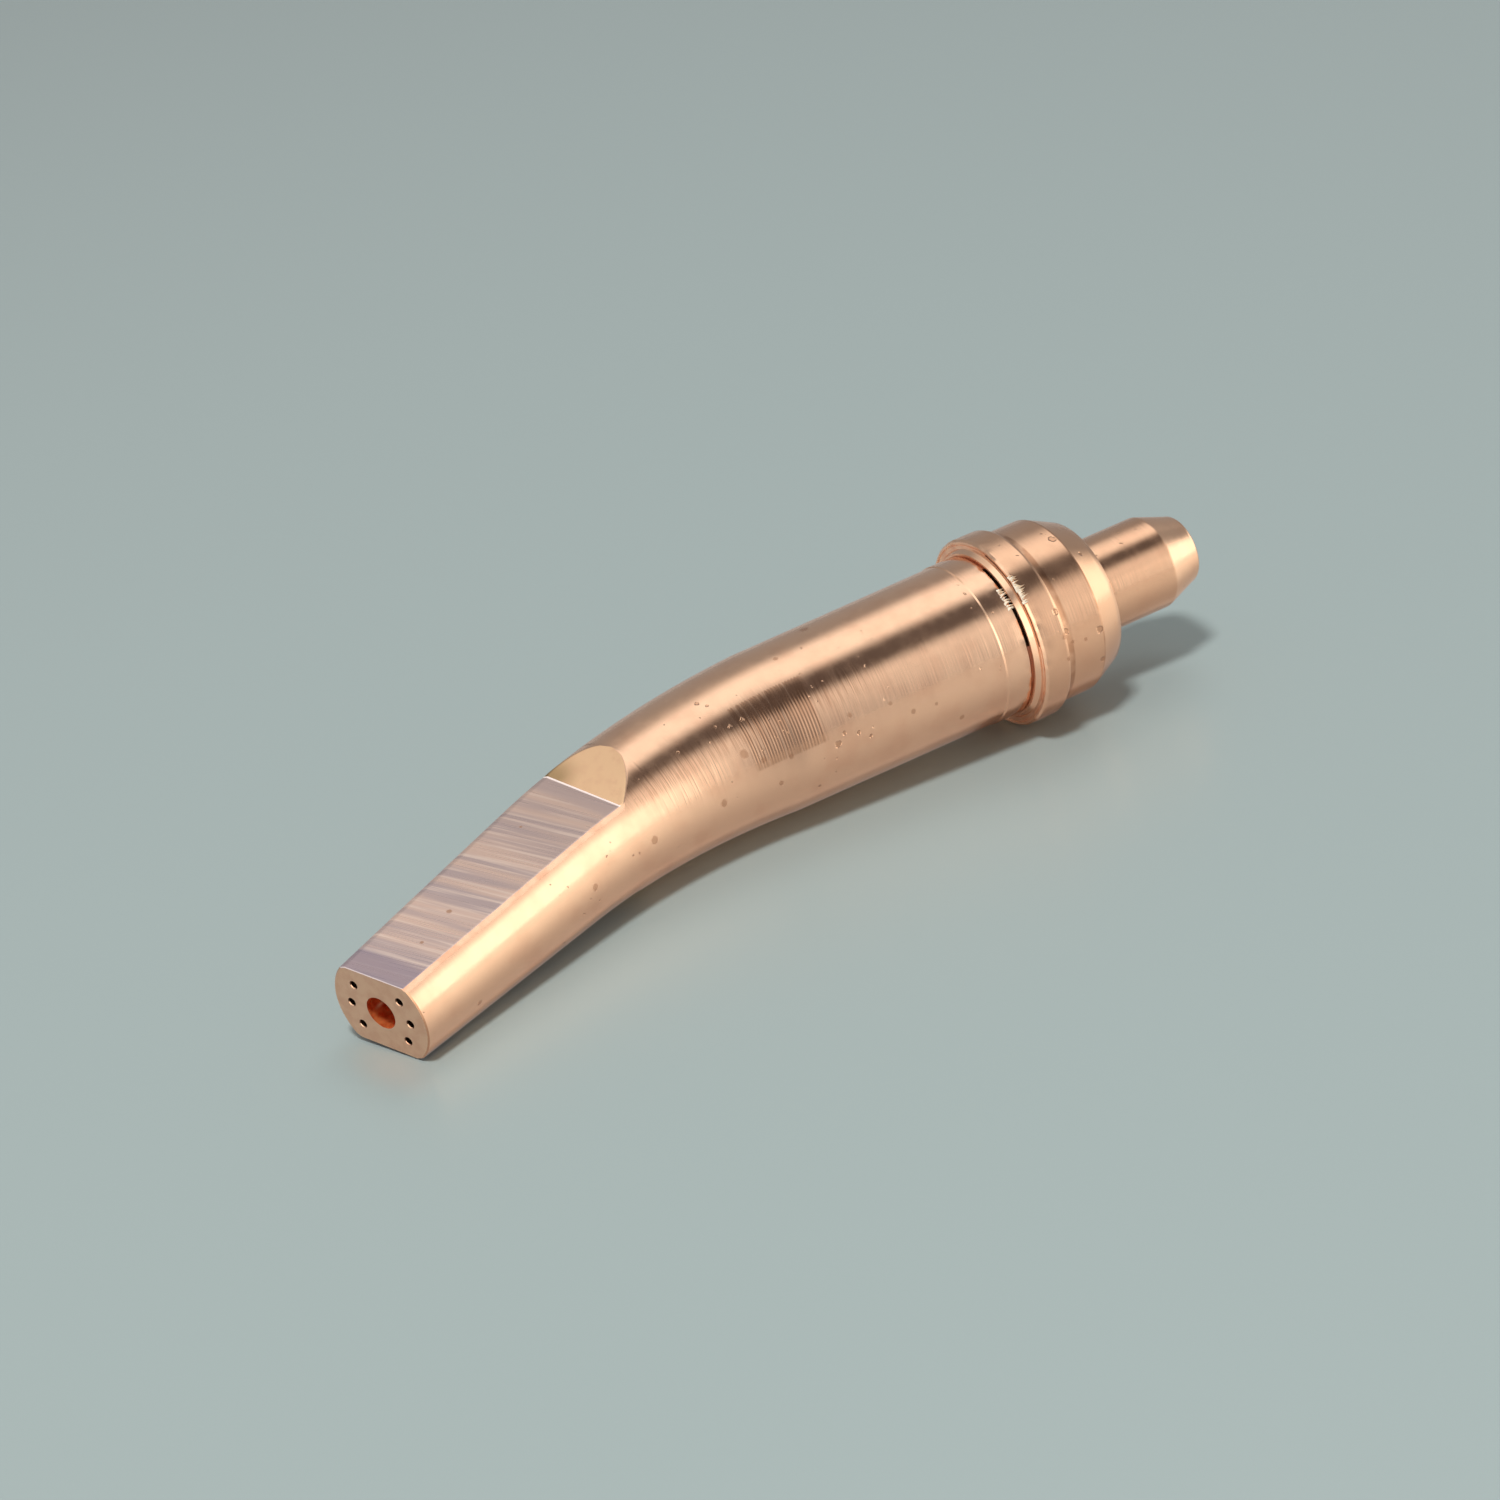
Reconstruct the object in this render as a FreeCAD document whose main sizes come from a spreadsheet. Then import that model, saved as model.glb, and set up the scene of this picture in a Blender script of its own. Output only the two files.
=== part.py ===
"""Bent gas cutting tip, turned and drilled from one piece of copper.

Millimetres.  The body is modelled about its straight front section, whose
axis is the local X axis, with the bend lying in the local XY plane and the
two milled flats facing up and down.  At the end the tip is laid on its side
as it would come to rest on a table.
"""
import math
import os
import re

import FreeCAD
import Part
import Sketcher

os.makedirs("parts", exist_ok=True)
doc = FreeCAD.newDocument("CuttingTip")

# Driving dimensions: millimetres and degrees
SIZES = [
    ("flange_radius", 10.0),
    ("flange_length", 3.0),
    ("flange_chamfer", 0.2),
    ("head_radius", 9.3),
    ("head_length", 4.6),
    ("cone_length", 3.1),
    ("cone_end_radius", 7.85),
    ("pilot_radius", 4.95),
    ("pilot_length", 9.2),
    ("pilot_taper", 4.0),
    ("pilot_end_radius", 3.7),
    ("pilot_chamfer", 0.45),
    ("undercut_width", 0.7),
    ("undercut_radius", 8.0),
    ("collar_radius", 8.5),
    ("collar_length", 3.6),
    ("collar_chamfer", 0.12),
    ("body_radius", 8.4),
    ("bend_start", 26.6),
    ("bend_start_radius", 8.19),
    ("bend_radius", 67.5),
    ("bend_angle", 23.0),
    ("bend_end_radius", 6.68),
    ("front_length", 24.3),
    ("front_radius", 5.45),
    ("front_chamfer", 0.12),
    ("flat_turn", 4.8),
    ("flat_root_back", 5.65),
    ("flat_root_height", 4.85),
    ("flat_end_height", 3.9),
    ("flat_ramp_angle", 29.0),
    ("flat_clearance", 10.0),
    ("oxygen_radius", 1.65),
    ("inlet_radius", 2.2),
    ("inlet_depth", 26.0),
    ("inlet_chamfer", 0.4),
    ("drill_point_angle", 59.0),
    ("preheat_ring_radius", 3.47),
    ("preheat_radius", 0.45),
    ("preheat_pitch", 39.0),
    ("feed_ring_radius", 6.4),
    ("feed_radius", 0.7),
    ("feed_overrun", 0.6),
]
sheet = doc.addObject("Spreadsheet::Sheet", "Sizes")
for row, (name, number) in enumerate(SIZES, start=1):
    sheet.set("A%d" % row, name)
    sheet.set("B%d" % row, str(number))
    sheet.setAlias("B%d" % row, name)
doc.recompute()


def full(text):
    """Write a formula of size names as an expression on the sheet."""
    return re.sub(r"\b[a-z]+_[a-z_]+", lambda m: "Sizes." + m.group(0), text)


def amount(text):
    """Present value of a formula of size names."""
    got = sheet.evalExpression(full(text))
    return float(getattr(got, "Value", got))


body = doc.addObject("PartDesign::Body", "CuttingTip")
body.Label = "cutting_tip"


def origin_plane(role):
    """One of the body's own base planes."""
    return [f for f in body.Origin.OriginFeatures if f.Role == role][0]


def new_sketch(name, role, base=("0", "0", "0"), axis=(0, 0, 1), turn="0"):
    """Sketch on a base plane, shifted and turned by formulas in its own axes."""
    sketch = body.newObject("Sketcher::SketchObject", name)
    sketch.AttachmentSupport = [(origin_plane(role), "")]
    sketch.MapMode = "FlatFace"
    start = FreeCAD.Vector(*[amount(b) for b in base])
    spin = FreeCAD.Rotation(FreeCAD.Vector(*axis), amount(turn))
    sketch.AttachmentOffset = FreeCAD.Placement(start, spin)
    for letter, formula in zip("xyz", base):
        if formula != "0":
            sketch.setExpression("AttachmentOffset.Base." + letter, full(formula))
    if turn != "0":
        sketch.setExpression("AttachmentOffset.Rotation.Angle", full(turn))
    return sketch


def pin_point(sketch, geo, end, across, up=None):
    """Hold a point of a sketch at one or two formulas from the sketch origin."""
    for kind, line, formula in (("DistanceX", -2, across), ("DistanceY", -1, up)):
        if formula is None:
            continue
        if formula == "0":
            sketch.addConstraint(Sketcher.Constraint("PointOnObject", geo, end, line))
            continue
        place = sketch.addConstraint(
            Sketcher.Constraint(kind, -1, 1, geo, end, amount(formula)))
        sketch.setExpression("Constraints[%d]" % place, full(formula))


def draw_outline(sketch, corners):
    """Closed outline of straight lines through corners given as formulas."""
    spots = [FreeCAD.Vector(amount(a), amount(u), 0) for a, u in corners]
    first = sketch.GeometryCount
    count = len(spots)
    for i in range(count):
        sketch.addGeometry(Part.LineSegment(spots[i], spots[(i + 1) % count]), False)
    for i in range(count):
        follower = first + (i + 1) % count
        sketch.addConstraint(
            Sketcher.Constraint("Coincident", first + i, 2, follower, 1))
    for i, (across, up) in enumerate(corners):
        pin_point(sketch, first + i, 1, across, up)


def draw_circle(sketch, across, up, radius):
    """Circle whose centre and radius are formulas."""
    centre = FreeCAD.Vector(amount(across), amount(up), 0)
    up_axis = FreeCAD.Vector(0, 0, 1)
    geo = sketch.addGeometry(Part.Circle(centre, up_axis, amount(radius)), False)
    pin_point(sketch, geo, 3, across, up)
    place = sketch.addConstraint(Sketcher.Constraint("Radius", geo, amount(radius)))
    sketch.setExpression("Constraints[%d]" % place, full(radius))


def turned(kind, name, sketch, axis="H_Axis", angle="360"):
    """Revolution or Groove of a sketch about one of its own lines."""
    feature = body.newObject("PartDesign::" + kind, name)
    feature.Profile = sketch
    feature.ReferenceAxis = (sketch, [axis])
    feature.Angle = amount(angle)
    if angle != "360":
        feature.setExpression("Angle", full(angle))
    return feature


# Places along the turned axis, measured forward from the flange front face
CONE_FRONT = "-(flange_length + head_length)"
CONE_REAR = "-(flange_length + head_length + cone_length)"
PILOT_EDGE = "-(flange_length + head_length + cone_length + pilot_length)"
PILOT_END = PILOT_EDGE[:-1] + " + pilot_taper)"

# Bend start and flange centre, measured from the end of the bend
START_X = "-bend_radius * sin(bend_angle)"
START_Y = "bend_radius * (1 - cos(bend_angle))"
FLANGE_X = START_X + " - bend_start * cos(bend_angle)"
FLANGE_Y = START_Y + " + bend_start * sin(bend_angle)"
REAR = dict(role="XY_Plane", base=(FLANGE_X, FLANGE_Y, "0"), turn="-bend_angle")

# Pilot, cone seat, head, flange, undercut, collar and straight body
head_sketch = new_sketch("HeadOutline", **REAR)
draw_outline(head_sketch, [
    (PILOT_END, "0"),
    (PILOT_END, "pilot_end_radius - pilot_chamfer"),
    (PILOT_END + " + pilot_chamfer", "pilot_end_radius"),
    (PILOT_EDGE, "pilot_radius"),
    (CONE_REAR, "pilot_radius"),
    (CONE_REAR, "cone_end_radius"),
    (CONE_FRONT, "head_radius"),
    ("-flange_length", "head_radius"),
    ("-flange_length", "flange_radius - flange_chamfer"),
    ("-flange_length + flange_chamfer", "flange_radius"),
    ("-flange_chamfer", "flange_radius"),
    ("0", "flange_radius - flange_chamfer"),
    ("0", "undercut_radius"),
    ("undercut_width", "undercut_radius"),
    ("undercut_width", "collar_radius - collar_chamfer"),
    ("undercut_width + collar_chamfer", "collar_radius"),
    ("collar_length - (collar_radius - body_radius)", "collar_radius"),
    ("collar_length", "body_radius"),
    ("bend_start", "bend_start_radius"),
    ("bend_start", "0"),
])
turned("Revolution", "TurnedHead", head_sketch)
doc.recompute()

# Tapering bend, swept along an arc between two round sections
bend_path = new_sketch("BendPath", "XY_Plane")
arc_centre = FreeCAD.Vector(0, amount("bend_radius"), 0)
arc_circle = Part.Circle(arc_centre, FreeCAD.Vector(0, 0, 1), amount("bend_radius"))
arc_low = math.radians(270 - amount("bend_angle"))
bend_path.addGeometry(Part.ArcOfCircle(arc_circle, arc_low, math.radians(270)), False)
pin_point(bend_path, 0, 3, "0", "bend_radius")
pin_point(bend_path, 0, 1, START_X)
bend_path.addConstraint(Sketcher.Constraint("Coincident", 0, 2, -1, 1))

bend_rear = new_sketch("BendRearSection", "YZ_Plane",
                       (START_Y, "0", START_X), (0, 1, 0), "-bend_angle")
draw_circle(bend_rear, "0", "0", "bend_start_radius")
bend_front = new_sketch("BendFrontSection", "YZ_Plane")
draw_circle(bend_front, "0", "0", "bend_end_radius")

bend = body.newObject("PartDesign::AdditivePipe", "TaperedBend")
bend.Profile = bend_rear
bend.Spine = (bend_path, ["Edge1"])
bend.Transformation = "Multisection"
bend.Sections = [bend_front]
doc.recompute()

# Straight tapering front section
front_sketch = new_sketch("FrontOutline", "XY_Plane")
draw_outline(front_sketch, [
    ("0", "0"),
    ("0", "bend_end_radius"),
    ("front_length - front_chamfer", "front_radius"),
    ("front_length", "front_radius - front_chamfer"),
    ("front_length", "0"),
])
turned("Revolution", "FrontSection", front_sketch)
doc.recompute()

# Upper flat with its sloping shoulder, then the same below
flat_sketch = new_sketch("FlatSide", "XZ_Plane", axis=(0, 1, 0), turn="-flat_turn")
FLAT_REACH = "front_length + flat_clearance"
FLAT_SLOPE = "(flat_root_height - flat_end_height) / (front_length + flat_root_back)"
draw_outline(flat_sketch, [
    ("-flat_root_back", "flat_root_height"),
    (FLAT_REACH, "flat_end_height - flat_clearance * " + FLAT_SLOPE),
    (FLAT_REACH, "flat_root_height + flat_clearance"),
    ("-flat_root_back - flat_clearance / tan(flat_ramp_angle)",
     "flat_root_height + flat_clearance"),
])
upper_flat = body.newObject("PartDesign::Pocket", "UpperFlat")
upper_flat.Profile = flat_sketch
upper_flat.Type = "ThroughAll"
upper_flat.SideType = "Symmetric"
doc.recompute()
lower_flat = body.newObject("PartDesign::Mirrored", "LowerFlat")
lower_flat.Originals = [upper_flat]
lower_flat.MirrorPlane = (origin_plane("XY_Plane"), [""])
body.Tip = lower_flat
doc.recompute()

# Oxygen inlet: wide bore from the pilot end down to the small bore
inlet_sketch = new_sketch("InletOutline", **REAR)
INLET_FLOOR = PILOT_END + " + inlet_depth"
draw_outline(inlet_sketch, [
    (PILOT_END + " - inlet_chamfer", "0"),
    (PILOT_END + " - inlet_chamfer", "inlet_radius + 2 * inlet_chamfer"),
    (PILOT_END + " + inlet_chamfer", "inlet_radius"),
    (INLET_FLOOR, "inlet_radius"),
    (INLET_FLOOR + " + (inlet_radius - oxygen_radius) / tan(drill_point_angle)",
     "oxygen_radius"),
    ("bend_start", "oxygen_radius"),
    ("bend_start", "0"),
])
turned("Groove", "OxygenInlet", inlet_sketch)
doc.recompute()


def through(name, sketch, back=None):
    """Pocket forward through the front, and back by a formula if one is given."""
    pocket = body.newObject("PartDesign::Pocket", name)
    pocket.Profile = sketch
    pocket.Type = "ThroughAll"
    pocket.Reversed = True
    if back is not None:
        pocket.SideType = "Two sides"
        pocket.Type2 = "Length"
        pocket.setExpression("Length2", full(back))
    return pocket


# Small oxygen bore round the bend and out through the front face
bend_bore = new_sketch("BendBore", "YZ_Plane")
draw_circle(bend_bore, "0", "0", "oxygen_radius")
hinge = bend_bore.addGeometry(Part.LineSegment(
    FreeCAD.Vector(amount("bend_radius"), 0, 0),
    FreeCAD.Vector(amount("bend_radius"), amount("bend_radius"), 0)), True)
pin_point(bend_bore, hinge, 1, "bend_radius", "0")
pin_point(bend_bore, hinge, 2, "bend_radius", "bend_radius")
bore_groove = turned("Groove", "OxygenBend", bend_bore, "Axis0", "bend_angle")
bore_groove.Reversed = True
doc.recompute()
front_bore = new_sketch("FrontBore", "YZ_Plane")
draw_circle(front_bore, "0", "0", "oxygen_radius")
through("OxygenFront", front_bore)
doc.recompute()


def draw_passages(sketch):
    """A group of three preheat passages on either side of the bore."""
    for side in ("", "-"):
        across = side + "preheat_ring_radius"
        draw_circle(sketch, across, "0", "preheat_radius")
        for up in ("", "-"):
            draw_circle(sketch, across + " * cos(preheat_pitch)",
                        up + "preheat_ring_radius * sin(preheat_pitch)",
                        "preheat_radius")


# The preheat passages follow the bend as three straight runs that touch its arc
RUN = "(bend_radius + preheat_ring_radius) * tan(bend_angle / 4)"
front_passages = new_sketch("FrontPassages", "YZ_Plane")
draw_passages(front_passages)
through("PreheatFront", front_passages, RUN)
doc.recompute()

middle_passages = new_sketch(
    "MiddlePassages", "YZ_Plane",
    ("bend_radius * (1 - cos(bend_angle / 2))", "0",
     "-bend_radius * sin(bend_angle / 2)"), (0, 1, 0), "-bend_angle / 2")
draw_passages(middle_passages)
preheat_middle = body.newObject("PartDesign::Pocket", "PreheatMiddle")
preheat_middle.Profile = middle_passages
preheat_middle.SideType = "Symmetric"
preheat_middle.setExpression("Length", full("2 * " + RUN))
doc.recompute()

rear_passages = new_sketch("RearPassages", "YZ_Plane",
                           (START_Y, "0", START_X), (0, 1, 0), "-bend_angle")
draw_passages(rear_passages)
preheat_rear = body.newObject("PartDesign::Pocket", "PreheatRear")
preheat_rear.Profile = rear_passages
preheat_rear.Reversed = True
preheat_rear.setExpression("Length", full(RUN))
doc.recompute()

# Feed passage drilled slanting from the face round the pilot to the bend
FEED_SLANT = ("atan((feed_ring_radius - preheat_ring_radius)"
              " / (bend_start + flange_length + head_length + cone_length))")
FEED_LENGTH = ("(bend_start + flange_length + head_length + cone_length)"
               " / cos(" + FEED_SLANT + ") + feed_overrun")
feed_sketch = new_sketch(
    "FeedOutline", "XY_Plane",
    (START_X + " + preheat_ring_radius * sin(bend_angle)",
     START_Y + " + preheat_ring_radius * cos(bend_angle)", "0"),
    turn="-bend_angle * 1 deg - " + FEED_SLANT)
draw_outline(feed_sketch, [
    ("-(" + FEED_LENGTH + ")", "0"),
    ("-(" + FEED_LENGTH + ")", "feed_radius"),
    ("feed_overrun", "feed_radius"),
    ("feed_overrun + feed_radius / tan(drill_point_angle)", "0"),
])
feed = turned("Groove", "FeedPassage", feed_sketch)
doc.recompute()


def polar(name, angle, back=False):
    """Two places about the turned axis, for use inside the feed group."""
    pattern = body.newObject("PartDesign::PolarPattern", name)
    pattern.Axis = (head_sketch, ["H_Axis"])
    pattern.Occurrences = 2
    pattern.Angle = amount(angle)
    if angle != "360":
        pattern.setExpression("Angle", full(angle))
    pattern.Reversed = back
    return pattern


# The other five feed passages: one step either way, then the opposite side
feed_group = body.newObject("PartDesign::MultiTransform", "FeedGroup")
feed_group.Originals = [feed]
feed_group.Transformations = [
    polar("FeedUp", "preheat_pitch"),
    polar("FeedDown", "preheat_pitch", True),
    polar("FeedOpposite", "360"),
]
body.Tip = feed_group
doc.recompute()

# The tip lies where its centre of mass is lowest, found by tilting step by step
FACETING = 0.02
FIRST_TILT, LAST_TILT = 0.1, 1e-6
HEADINGS = 24


def resting_down(points, centre):
    """Direction, in the body's own axes, that points down when it rests."""
    offsets = [p - centre for p in points]

    def height(down):
        return max(o.dot(down) for o in offsets)

    down = FreeCAD.Vector(0, 0, -1)
    lowest = height(down)
    tilt = FIRST_TILT
    while tilt > LAST_TILT:
        tries = []
        for k in range(HEADINGS):
            heading = 2 * math.pi * k / HEADINGS
            step = FreeCAD.Vector(math.cos(heading), math.sin(heading), 0) * tilt
            lean = (down + step).normalize()
            tries.append((height(lean), k, lean))
        best = min(tries)
        if best[0] < lowest:
            lowest, down = best[0], best[2]
        else:
            tilt /= 2
    return down


def laid_down(shape):
    """Placement that lays the tip along +X, centred on the origin at z = 0."""
    points = shape.tessellate(FACETING)[0]
    rest = FreeCAD.Rotation(resting_down(points, shape.CenterOfGravity),
                            FreeCAD.Vector(0, 0, -1))
    rear = FreeCAD.Vector(amount(FLANGE_X), amount(FLANGE_Y), 0)
    front = FreeCAD.Vector(amount("front_length"), 0, 0)
    along = rest.multVec(front - rear)
    yaw = FreeCAD.Rotation(FreeCAD.Vector(0, 0, 1),
                           -math.degrees(math.atan2(along.y, along.x)))
    turn = yaw.multiply(rest)
    laid = [turn.multVec(p) for p in points]
    middle = FreeCAD.Vector(
        -(min(p.x for p in laid) + max(p.x for p in laid)) / 2,
        -(min(p.y for p in laid) + max(p.y for p in laid)) / 2,
        -min(p.z for p in laid))
    return FreeCAD.Placement(middle, turn)


body.Placement = laid_down(body.Shape)
doc.recompute()

for item in doc.Objects:
    if "Invalid" in item.State or "Error" in item.State:
        raise RuntimeError(item.Name + " is in state " + ", ".join(item.State))
if body.Shape.isNull() or not body.Shape.isValid():
    raise RuntimeError(body.Label + " has no valid shape")
body.Shape.exportStep("parts/" + body.Label + ".step")
print(body.Label, "written, volume", round(body.Shape.Volume, 1), "cubic mm")
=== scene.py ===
"""Bent copper gas cutting tip on a pale table, in metres.

The tip is drawn as one closed skin: sections are strung along its spine,
which runs straight from the pilot to the bend, round the bend, and straight
to the front face.  A place on the tip is given as t along the spine, from the
flange's front face, and y and z across it, in millimetres; place() turns that
into metres in the shared frame.
"""
import math
import random

import bmesh
import bpy
from mathutils import Matrix, Vector, noise


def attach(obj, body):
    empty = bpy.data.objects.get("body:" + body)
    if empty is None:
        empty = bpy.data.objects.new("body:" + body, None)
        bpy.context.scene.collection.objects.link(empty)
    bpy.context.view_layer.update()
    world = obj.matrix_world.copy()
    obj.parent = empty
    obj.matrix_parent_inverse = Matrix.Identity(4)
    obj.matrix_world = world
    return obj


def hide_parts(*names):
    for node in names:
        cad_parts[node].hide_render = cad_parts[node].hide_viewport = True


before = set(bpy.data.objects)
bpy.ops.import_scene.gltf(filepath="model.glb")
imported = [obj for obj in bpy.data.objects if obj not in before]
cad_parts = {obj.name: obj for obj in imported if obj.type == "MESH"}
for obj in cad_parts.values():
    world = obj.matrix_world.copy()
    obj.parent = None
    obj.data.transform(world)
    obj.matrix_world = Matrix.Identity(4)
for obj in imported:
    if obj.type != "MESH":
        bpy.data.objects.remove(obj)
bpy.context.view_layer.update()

MM = 0.001

# Sizes, mm
FLANGE_R, FLANGE_LEN, FLANGE_CHAMFER = 10.0, 3.0, 0.2
HEAD_R, HEAD_LEN, CONE_LEN, CONE_END_R = 9.3, 4.6, 3.1, 7.85
PILOT_R, PILOT_LEN, PILOT_TAPER = 4.95, 9.2, 4.0
PILOT_END_R, PILOT_ROUND = 3.7, 0.45
UNDERCUT_W, UNDERCUT_R = 0.7, 8.0
COLLAR_R, COLLAR_LEN, COLLAR_CHAMFER, BODY_R = 8.5, 3.6, 0.12, 8.4
BEND_START, BEND_START_R, BEND_RADIUS = 26.6, 8.19, 67.5
BEND_ANGLE = math.radians(23.0)
BEND_END_R = 6.68
FRONT_LEN, FRONT_R, FRONT_CHAMFER = 24.3, 5.45, 0.12
FLAT_ROOT_BACK, FLAT_ROOT_H, FLAT_END_H = 5.65, 4.85, 3.9
FLAT_RAMP = math.tan(math.radians(29.0))
COLLAR_STEP = 0.15              # length over which the collar drops to the body
BOSS_FOOT_R, BOSS_R, BOSS_H = 9.05, 8.72, 0.48      # low boss on the flange front
GAP_R, GAP_FOOT = 8.5, 0.12     # inner wall of the boss: its radius, and t where it ends
RIM_LINE_DEPTH = 0.08           # fine line round the flange front
RIM_LINE_OUTER, RIM_LINE_INNER = (9.61, 9.56), (9.46, 9.42)     # its walls, outside in
BORE_R, INLET_R, INLET_DEPTH, INLET_CHAMFER = 1.65, 2.2, 26.0, 0.4
RING_R, HOLE_R, HOLE_PITCH = 3.47, 0.45, math.radians(39.0)
FEED_RING_R, FEED_R = 6.4, 0.7

# How the tip lies: turns and shift from its own axes to the shared frame, mm
REST_YAW, REST_PITCH, REST_ROLL = (math.radians(a) for a in (11.856, 5.0684, -3.28857))
REST_SHIFT = Vector((26.0392, -3.28984, 6.37729))

BEND_LEN = BEND_RADIUS * BEND_ANGLE
BEND_END = BEND_START + BEND_LEN
TIP_END = BEND_END + FRONT_LEN
CONE_FRONT = -(FLANGE_LEN + HEAD_LEN)
CONE_REAR = CONE_FRONT - CONE_LEN
PILOT_EDGE = CONE_REAR - PILOT_LEN
PILOT_END = PILOT_EDGE - PILOT_TAPER
FLAT_ROOT = BEND_END - FLAT_ROOT_BACK
FLAT_SLOPE = (FLAT_ROOT_H - FLAT_END_H) / (TIP_END - FLAT_ROOT)

REST = (Matrix.Translation(REST_SHIFT)
        @ Matrix.Rotation(REST_YAW, 4, "Z")
        @ Matrix.Rotation(REST_PITCH, 4, "Y")
        @ Matrix.Rotation(REST_ROLL, 4, "X"))


def spine(t):
    """Point on the centre line at t, the way forward and the way sideways."""
    start = Vector((-BEND_RADIUS * math.sin(BEND_ANGLE),
                    BEND_RADIUS * (1 - math.cos(BEND_ANGLE)), 0))
    a = min(max((t - BEND_START) / BEND_RADIUS - BEND_ANGLE, -BEND_ANGLE), 0)
    ahead = Vector((math.cos(a), math.sin(a), 0))
    side = Vector((-math.sin(a), math.cos(a), 0))
    if t <= BEND_START:
        point = start + (t - BEND_START) * ahead
    elif t < BEND_END:
        point = Vector((BEND_RADIUS * math.sin(a), BEND_RADIUS * (1 - math.cos(a)), 0))
    else:
        point = (t - BEND_END) * ahead
    return point, ahead, side


def place(t, y, z):
    """Point in the shared frame, in metres, of section coordinates y, z at t."""
    point, ahead, side = spine(t)
    return (REST @ (point + y * side + Vector((0, 0, z)))) * MM


def mix(a, b, u):
    """Value at share u of the way from a to b."""
    return a + (b - a) * u


# Outer skin

def body_radius(t):
    """Radius of the round body, from the collar to the front face."""
    steps = ((COLLAR_LEN, BODY_R), (BEND_START, BEND_START_R),
             (BEND_END, BEND_END_R), (TIP_END, FRONT_R))
    for (t0, r0), (t1, r1) in zip(steps, steps[1:]):
        if t <= t1:
            return mix(r0, r1, max(0.0, (t - t0) / (t1 - t0)))
    return FRONT_R


def flat_height(t):
    """Half thickness between the flats, or of the ramp that leads to them."""
    if t < FLAT_ROOT:
        return FLAT_ROOT_H + (FLAT_ROOT - t) * FLAT_RAMP
    return FLAT_ROOT_H - (t - FLAT_ROOT) * FLAT_SLOPE


RAMP_REACH, HALVINGS = 10.0, 40         # longest ramp that is looked for, and how finely


def ramp_top():
    """Where the ramp meets the top of the round body."""
    low, high = FLAT_ROOT - RAMP_REACH, FLAT_ROOT
    for _ in range(HALVINGS):
        mid = (low + high) / 2
        if flat_height(mid) > body_radius(mid):
            low = mid
        else:
            high = mid
    return high


RAMP_TOP = ramp_top()
SIDE_N, TOP_N = 72, 40          # steps of the round sides, and across a flat
EDGE_BREAK, RAMP_EDGE = 0.32, 0.08      # width of the broken edge beside a flat and a ramp
SAME_PLACE = 1e-6               # nearer points are one point
CROWN = math.radians(58)        # where the top starts on the round body
CROWN_RUN = 9.0                 # length over which it narrows to meet the ramp


def ring(t, r):
    """Closed section at t: list of (y, z, angle round the spine)."""
    height = flat_height(t)
    cut = t > RAMP_TOP + SAME_PLACE and height < r
    if cut:
        corner = math.asin(height / r)
    else:
        ease = min(max((RAMP_TOP - t) / CROWN_RUN, 0.0), 1.0)
        corner = mix(math.pi / 2, CROWN, ease * ease * (3 - 2 * ease))
    edge = EDGE_BREAK if t > FLAT_ROOT - SAME_PLACE else RAMP_EDGE
    gap = min(edge / r, corner * 0.5) if cut else 0.0
    points = []
    for turn, sign in ((0.0, 1), (math.pi, -1)):
        low, high = turn - corner, turn + corner
        for i in range(SIDE_N + 1):
            a = mix(low + gap, high - gap, i / SIDE_N)
            points.append((r * math.cos(a), r * math.sin(a), a))
        inner = max(r * math.cos(corner) - edge, 0.0)
        for i in range(TOP_N + 1):
            if cut:
                y, z = mix(inner, -inner, i / TOP_N) * sign, height * sign
                points.append((y, z, math.atan2(z, y)))
            else:
                a = mix(high, turn + math.pi - corner, i / TOP_N)
                points.append((r * math.cos(a), r * math.sin(a), a))
    return points


def spread(t0, t1, step):
    """Even places from t0 to t1, both included, about a step apart."""
    count = max(1, int(round((t1 - t0) / step)))
    return [mix(t0, t1, i / count) for i in range(count + 1)]


# Spacing of the rings on plain stretches, mm
PILOT_STEP, HEAD_STEP, FLANGE_STEP, BODY_STEP = 1.0, 0.7, 0.6, 0.8
BEND_STEP, RAMP_STEP, FRONT_STEP = 0.5, 0.25, 0.6
BORE_STEP, INLET_STEP, HOLE_STEP = 1.2, 2.0, 2.0
# Rings beside an edge, which keep its shading crisp, mm
BREAK, BESIDE, ASIDE = 0.05, 0.08, 0.14     # half the width of a broken edge, and rings near it
PILOT_BREAK = 0.1               # the same on the pilot's taper
FLANGE_FOOT, FLANGE_SIDE = 0.2, 0.25    # fillet behind the flange, and the ring before it
RAMP_BEHIND, RAMP_AHEAD = 0.01, 0.002   # from the top of the ramp to the rings beside it
CORNER = 0.4                    # share of the flange's chamfer that rounds its corners
ROUND_N = 4                     # steps round the pilot's end


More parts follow.
